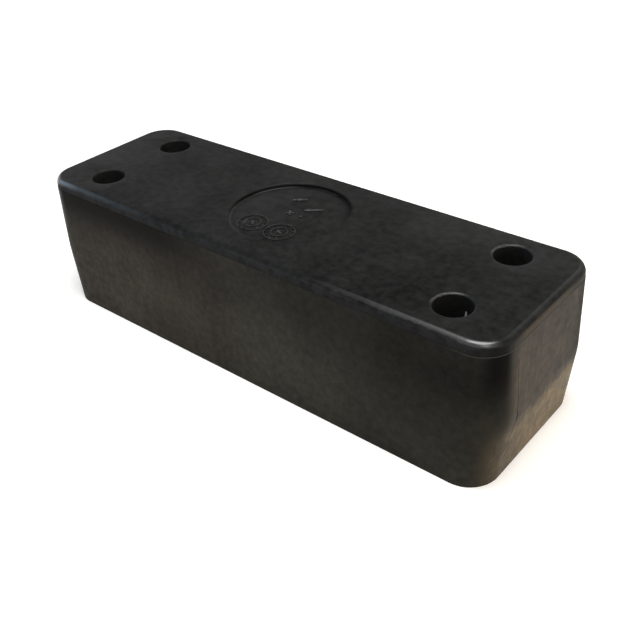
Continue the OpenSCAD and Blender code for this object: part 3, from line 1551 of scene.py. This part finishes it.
@dataclass
class TrailerBuffer:
    """The whole moulding: block, holes, recess, marks and the traces of its mould."""

    body: BlockBody = field(default_factory=BlockBody)
    dial_offset: float = 0.0137
    dial_drop: float = 0.02803
    bore_reach: float = 0.0140
    bore_top: float = 0.1184
    foot: float = 1e-4
    smooth_angle: float = 32.0

    def build(self) -> Piece:
        """Models the buffer as one closed mesh.

        Returns:
            The finished piece.
        """
        block = self.body.build()
        log.info("block: %d faces", len(block.data.polygons))
        recess = MarkingRecess(self.body.height)
        combine(block, recess.cutter(), Joining.CUT)
        for x in Side:
            for y in Side:
                combine(block, BoltHole(x.value * HOLE_X, y.value * HOLE_Y, self.body.height).cutter(), Joining.CUT)
        log.info("recess and four stepped holes cut")
        combine(block, self._marks(recess.floor), Joining.ADD)
        log.info("marks raised")
        for side in Side:
            combine(block, SeamLine(side, self.body).cutter(), Joining.CUT)
        combine(block, Nick((-0.2246, -0.0548, 0.1072), (0.0011, 0.0018, 0.0012)).cutter(), Joining.CUT)
        tidy_shell(block, 2e-6)
        place = BlockPlace(self.body)
        self._paint(block, place)
        sliver = FlashSliver().build()
        # The sliver's pale colours paint the highlight on its thin edges and the light through its thin rubber
        torn = BoreFinish("sliver_rubber_painted_highlight", (0.022, 0.022, 0.021, 1.0), (0.075, 0.074, 0.070, 1.0),
                          roughness=0.45, grain_depth=0.00005)
        sliver.data.materials.append(torn.material(place))
        buffer = gather([block, sliver], "rubber_buffer")
        log.info("seam lines, nick and flash sliver made")
        pick(buffer)
        bpy.ops.object.shade_smooth_by_angle(angle=radians(self.smooth_angle))
        return buffer

    def _marks(self, floor: float) -> Piece:
        """Models all the raised marks.

        Args:
            floor: Height of the recess's floor.

        Returns:
            The marks as one object.
        """
        x, y = self.dial_offset, -self.dial_drop
        marks = [
            *DateDial(floor, x=-x, y=y, pointer_turn=127.0).build(),
            *DateDial(floor, x=x, y=y, pointer_turn=152.0).build(),
            *PlainBar(floor, x=-0.008, y=0.022, length=0.012).build(),
            *PlainBar(floor, x=0.013, y=0.014, length=0.016).build(),
            *CentreMarks(floor).build(),
        ]
        return gather(marks, "raised_marks")

    def _paint(self, block: Piece, place: BlockPlace) -> None:
        """Gives each kind of face its finish.

        Args:
            block: The modelled buffer.
            place: Says where on the block a point lies.
        """
        finishes = {
            Face.OUTER: OuterFaceFinish(
                "outer_face_rubber", (0.0035, 0.0035, 0.0033, 1.0), (0.0215, 0.0215, 0.0205, 1.0),
                roughness=0.48, grain_depth=0.00012, gloss=0.02, coat_roughness=0.22),
            Face.SIDE: SideFinish(
                "side_rubber", (0.0022, 0.0022, 0.0019, 1.0), (0.0608, 0.0520, 0.0415, 1.0),
                roughness=0.52, grain_depth=0.00020, gloss=0.02),
            Face.BORE: BoreFinish(
                "bore_rubber", (0.0060, 0.0062, 0.0058, 1.0), (0.0160, 0.0160, 0.0148, 1.0),
                roughness=0.72, grain_depth=0.00015, gloss=0.02),
            Face.MOUNTING: MountingFaceFinish(
                "mounting_face_rubber", (0.0160, 0.0155, 0.0150, 1.0), (0.0300, 0.0285, 0.0270, 1.0),
                roughness=0.65, grain_depth=0.00015),
        }
        block.data.materials.clear()
        for face in Face:
            block.data.materials.append(finishes[face].material(place))
        for polygon in block.data.polygons:
            polygon.material_index = self._face_of(polygon).value

    def _face_of(self, polygon: bpy.types.MeshPolygon) -> Face:
        """Says of which kind a face is.

        Args:
            polygon: A face of the finished mesh.

        Returns:
            The kind that decides its finish.
        """
        x, y, z = polygon.center
        if hypot(abs(x) - HOLE_X, abs(y) - HOLE_Y) < self.bore_reach and self.foot < z < self.bore_top:
            return Face.BORE
        if polygon.normal.z < -FACING and z < self.foot:
            return Face.MOUNTING
        return Face.OUTER if z > self.body.parting_height - TINY else Face.SIDE


def aimed(place: Point, aim: Point) -> Quaternion:
    """Turn of a lamp or camera that looks from one place to another."""
    return (Vector(aim) - Vector(place)).to_track_quat("-Z", "Y")


@dataclass(frozen=True)
class Softbox:
    """A rectangular studio lamp."""

    name: str
    place: Point
    aim: Point
    size: Pair
    watts: float
    tint: tuple[float, float, float] = (1.0, 1.0, 1.0)

    def build(self) -> None:
        """Hangs the lamp."""
        bpy.ops.object.light_add(type="AREA", location=self.place, rotation=aimed(self.place, self.aim).to_euler())
        lamp = bpy.context.active_object
        lamp.name = self.name
        lamp.data.shape = "RECTANGLE"
        lamp.data.size, lamp.data.size_y = self.size
        lamp.data.energy = self.watts
        lamp.data.color = self.tint


@dataclass(frozen=True)
class Viewpoint:
    """The camera, at the photograph's viewing angle."""

    place: Point = (0.43510, -0.46562, 0.44953)
    aim: Point = (-0.02156, 0.05911, 0.06)
    roll: float = -3.1921
    lens: float = 51.2695
    sensor: float = 36.0
    shift_y: float = -0.125

    def build(self) -> None:
        """Sets up the camera."""
        heading = aimed(self.place, self.aim) @ Quaternion((0, 0, 1), radians(self.roll))
        bpy.ops.object.camera_add(location=self.place, rotation=heading.to_euler())
        camera = bpy.context.active_object
        camera.name = "camera"
        camera.data.sensor_width = self.sensor
        camera.data.lens = self.lens
        camera.data.shift_y = self.shift_y
        camera.data.clip_start = 0.01
        bpy.context.scene.camera = camera


@dataclass(frozen=True)
class Studio:
    """Plain pale floor, soft even surroundings and a few softboxes."""

    surroundings: float = 0.26
    floor_size: float = 24.0
    floor_height: float = -0.0002
    floor_colour: Colour = (0.84, 0.81, 0.76, 1.0)
    glow_colour: Colour = (1.0, 0.975, 0.94, 1.0)
    glow: Ramp = (0.5, 1.7, 0.36, 0.80)
    lamps: tuple[Softbox, ...] = (
        Softbox("ceiling", (0.16, -0.06, 1.30), (0.16, -0.06, 0.0), (0.80, 0.70), 18.0),
        Softbox("window", (-1.25, -0.57, 0.74), (-0.1, 0.0, 0.08), (0.80, 0.80), 6.0, (0.42, 0.68, 1.0)),
        Softbox("corner", (0.83, -0.69, 1.30), (0.21, -0.07, 0.12), (0.50, 0.50), 3.2),
        Softbox("end_fill", (1.35, 0.05, 0.30), (0.2, 0.0, 0.06), (0.6, 0.4), 5.0, (1.0, 0.86, 0.70)),
    )

    def build(self) -> None:
        """Builds the floor, the surroundings and the lamps."""
        self._floor()
        self._world()
        for lamp in self.lamps:
            lamp.build()

    def _floor(self) -> None:
        """Lays the floor. It glows for camera, glossy and transmission rays, and keeps the shadow."""
        floor = primitive("floor", bpy.ops.mesh.primitive_plane_add, size=self.floor_size,
                          location=(0, 0, self.floor_height))
        material = bpy.data.materials.new("pale_floor")
        board = fresh_board(material)
        spot = board.signal("ShaderNodeTexCoord", output="Object")
        away = board.signal("ShaderNodeVectorMath", {0: spot}, "Value", operation="LENGTH")
        strength = self._seen(board) * away.fade(*self.glow)
        matt = board.signal("ShaderNodeBsdfDiffuse", {"Color": self.floor_colour})
        glow = board.signal("ShaderNodeEmission", {"Color": self.glow_colour, "Strength": strength})
        both = board.signal("ShaderNodeAddShader", {0: matt, 1: glow})
        board.put("ShaderNodeOutputMaterial", {"Surface": both})
        floor.data.materials.append(material)

    def _seen(self, board: NodeBoard) -> Signal:
        """Tells the rays that look at the studio from those that only gather its light.

        Args:
            board: The tree that asks.

        Returns:
            One for a ray that looks, else nought.
        """
        rays = board.put("ShaderNodeLightPath").outputs
        camera, glossy, through = (Signal(board, rays[f"Is {kind} Ray"])
                                   for kind in ("Camera", "Glossy", "Transmission"))
        return camera.at_least(glossy).at_least(through)

    def _world(self) -> None:
        """Surrounds the studio with white that gives less light than it shows."""
        world = bpy.data.worlds.new("surroundings")
        board = fresh_board(world)
        strength = board.mix(self._seen(board), self.surroundings, 1.0)
        glow = board.signal("ShaderNodeBackground", {"Color": (1, 1, 1, 1), "Strength": strength})
        board.put("ShaderNodeOutputWorld", {"Surface": glow})
        bpy.context.scene.world = world


def main() -> None:
    """Builds the buffer and the studio."""
    logging.basicConfig(level=logging.INFO, format="%(name)s: %(message)s")
    buffer = TrailerBuffer().build()
    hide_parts(NODE)
    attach(buffer, BODY)
    log.info("%s: %d faces, %d vertices", buffer.name, len(buffer.data.polygons), len(buffer.data.vertices))
    Studio().build()
    Viewpoint().build()
    scene = bpy.context.scene
    scene.view_settings.view_transform = "Standard"
    log.info("studio and camera set, sizes written")


if __name__ == "__main__":
    main()
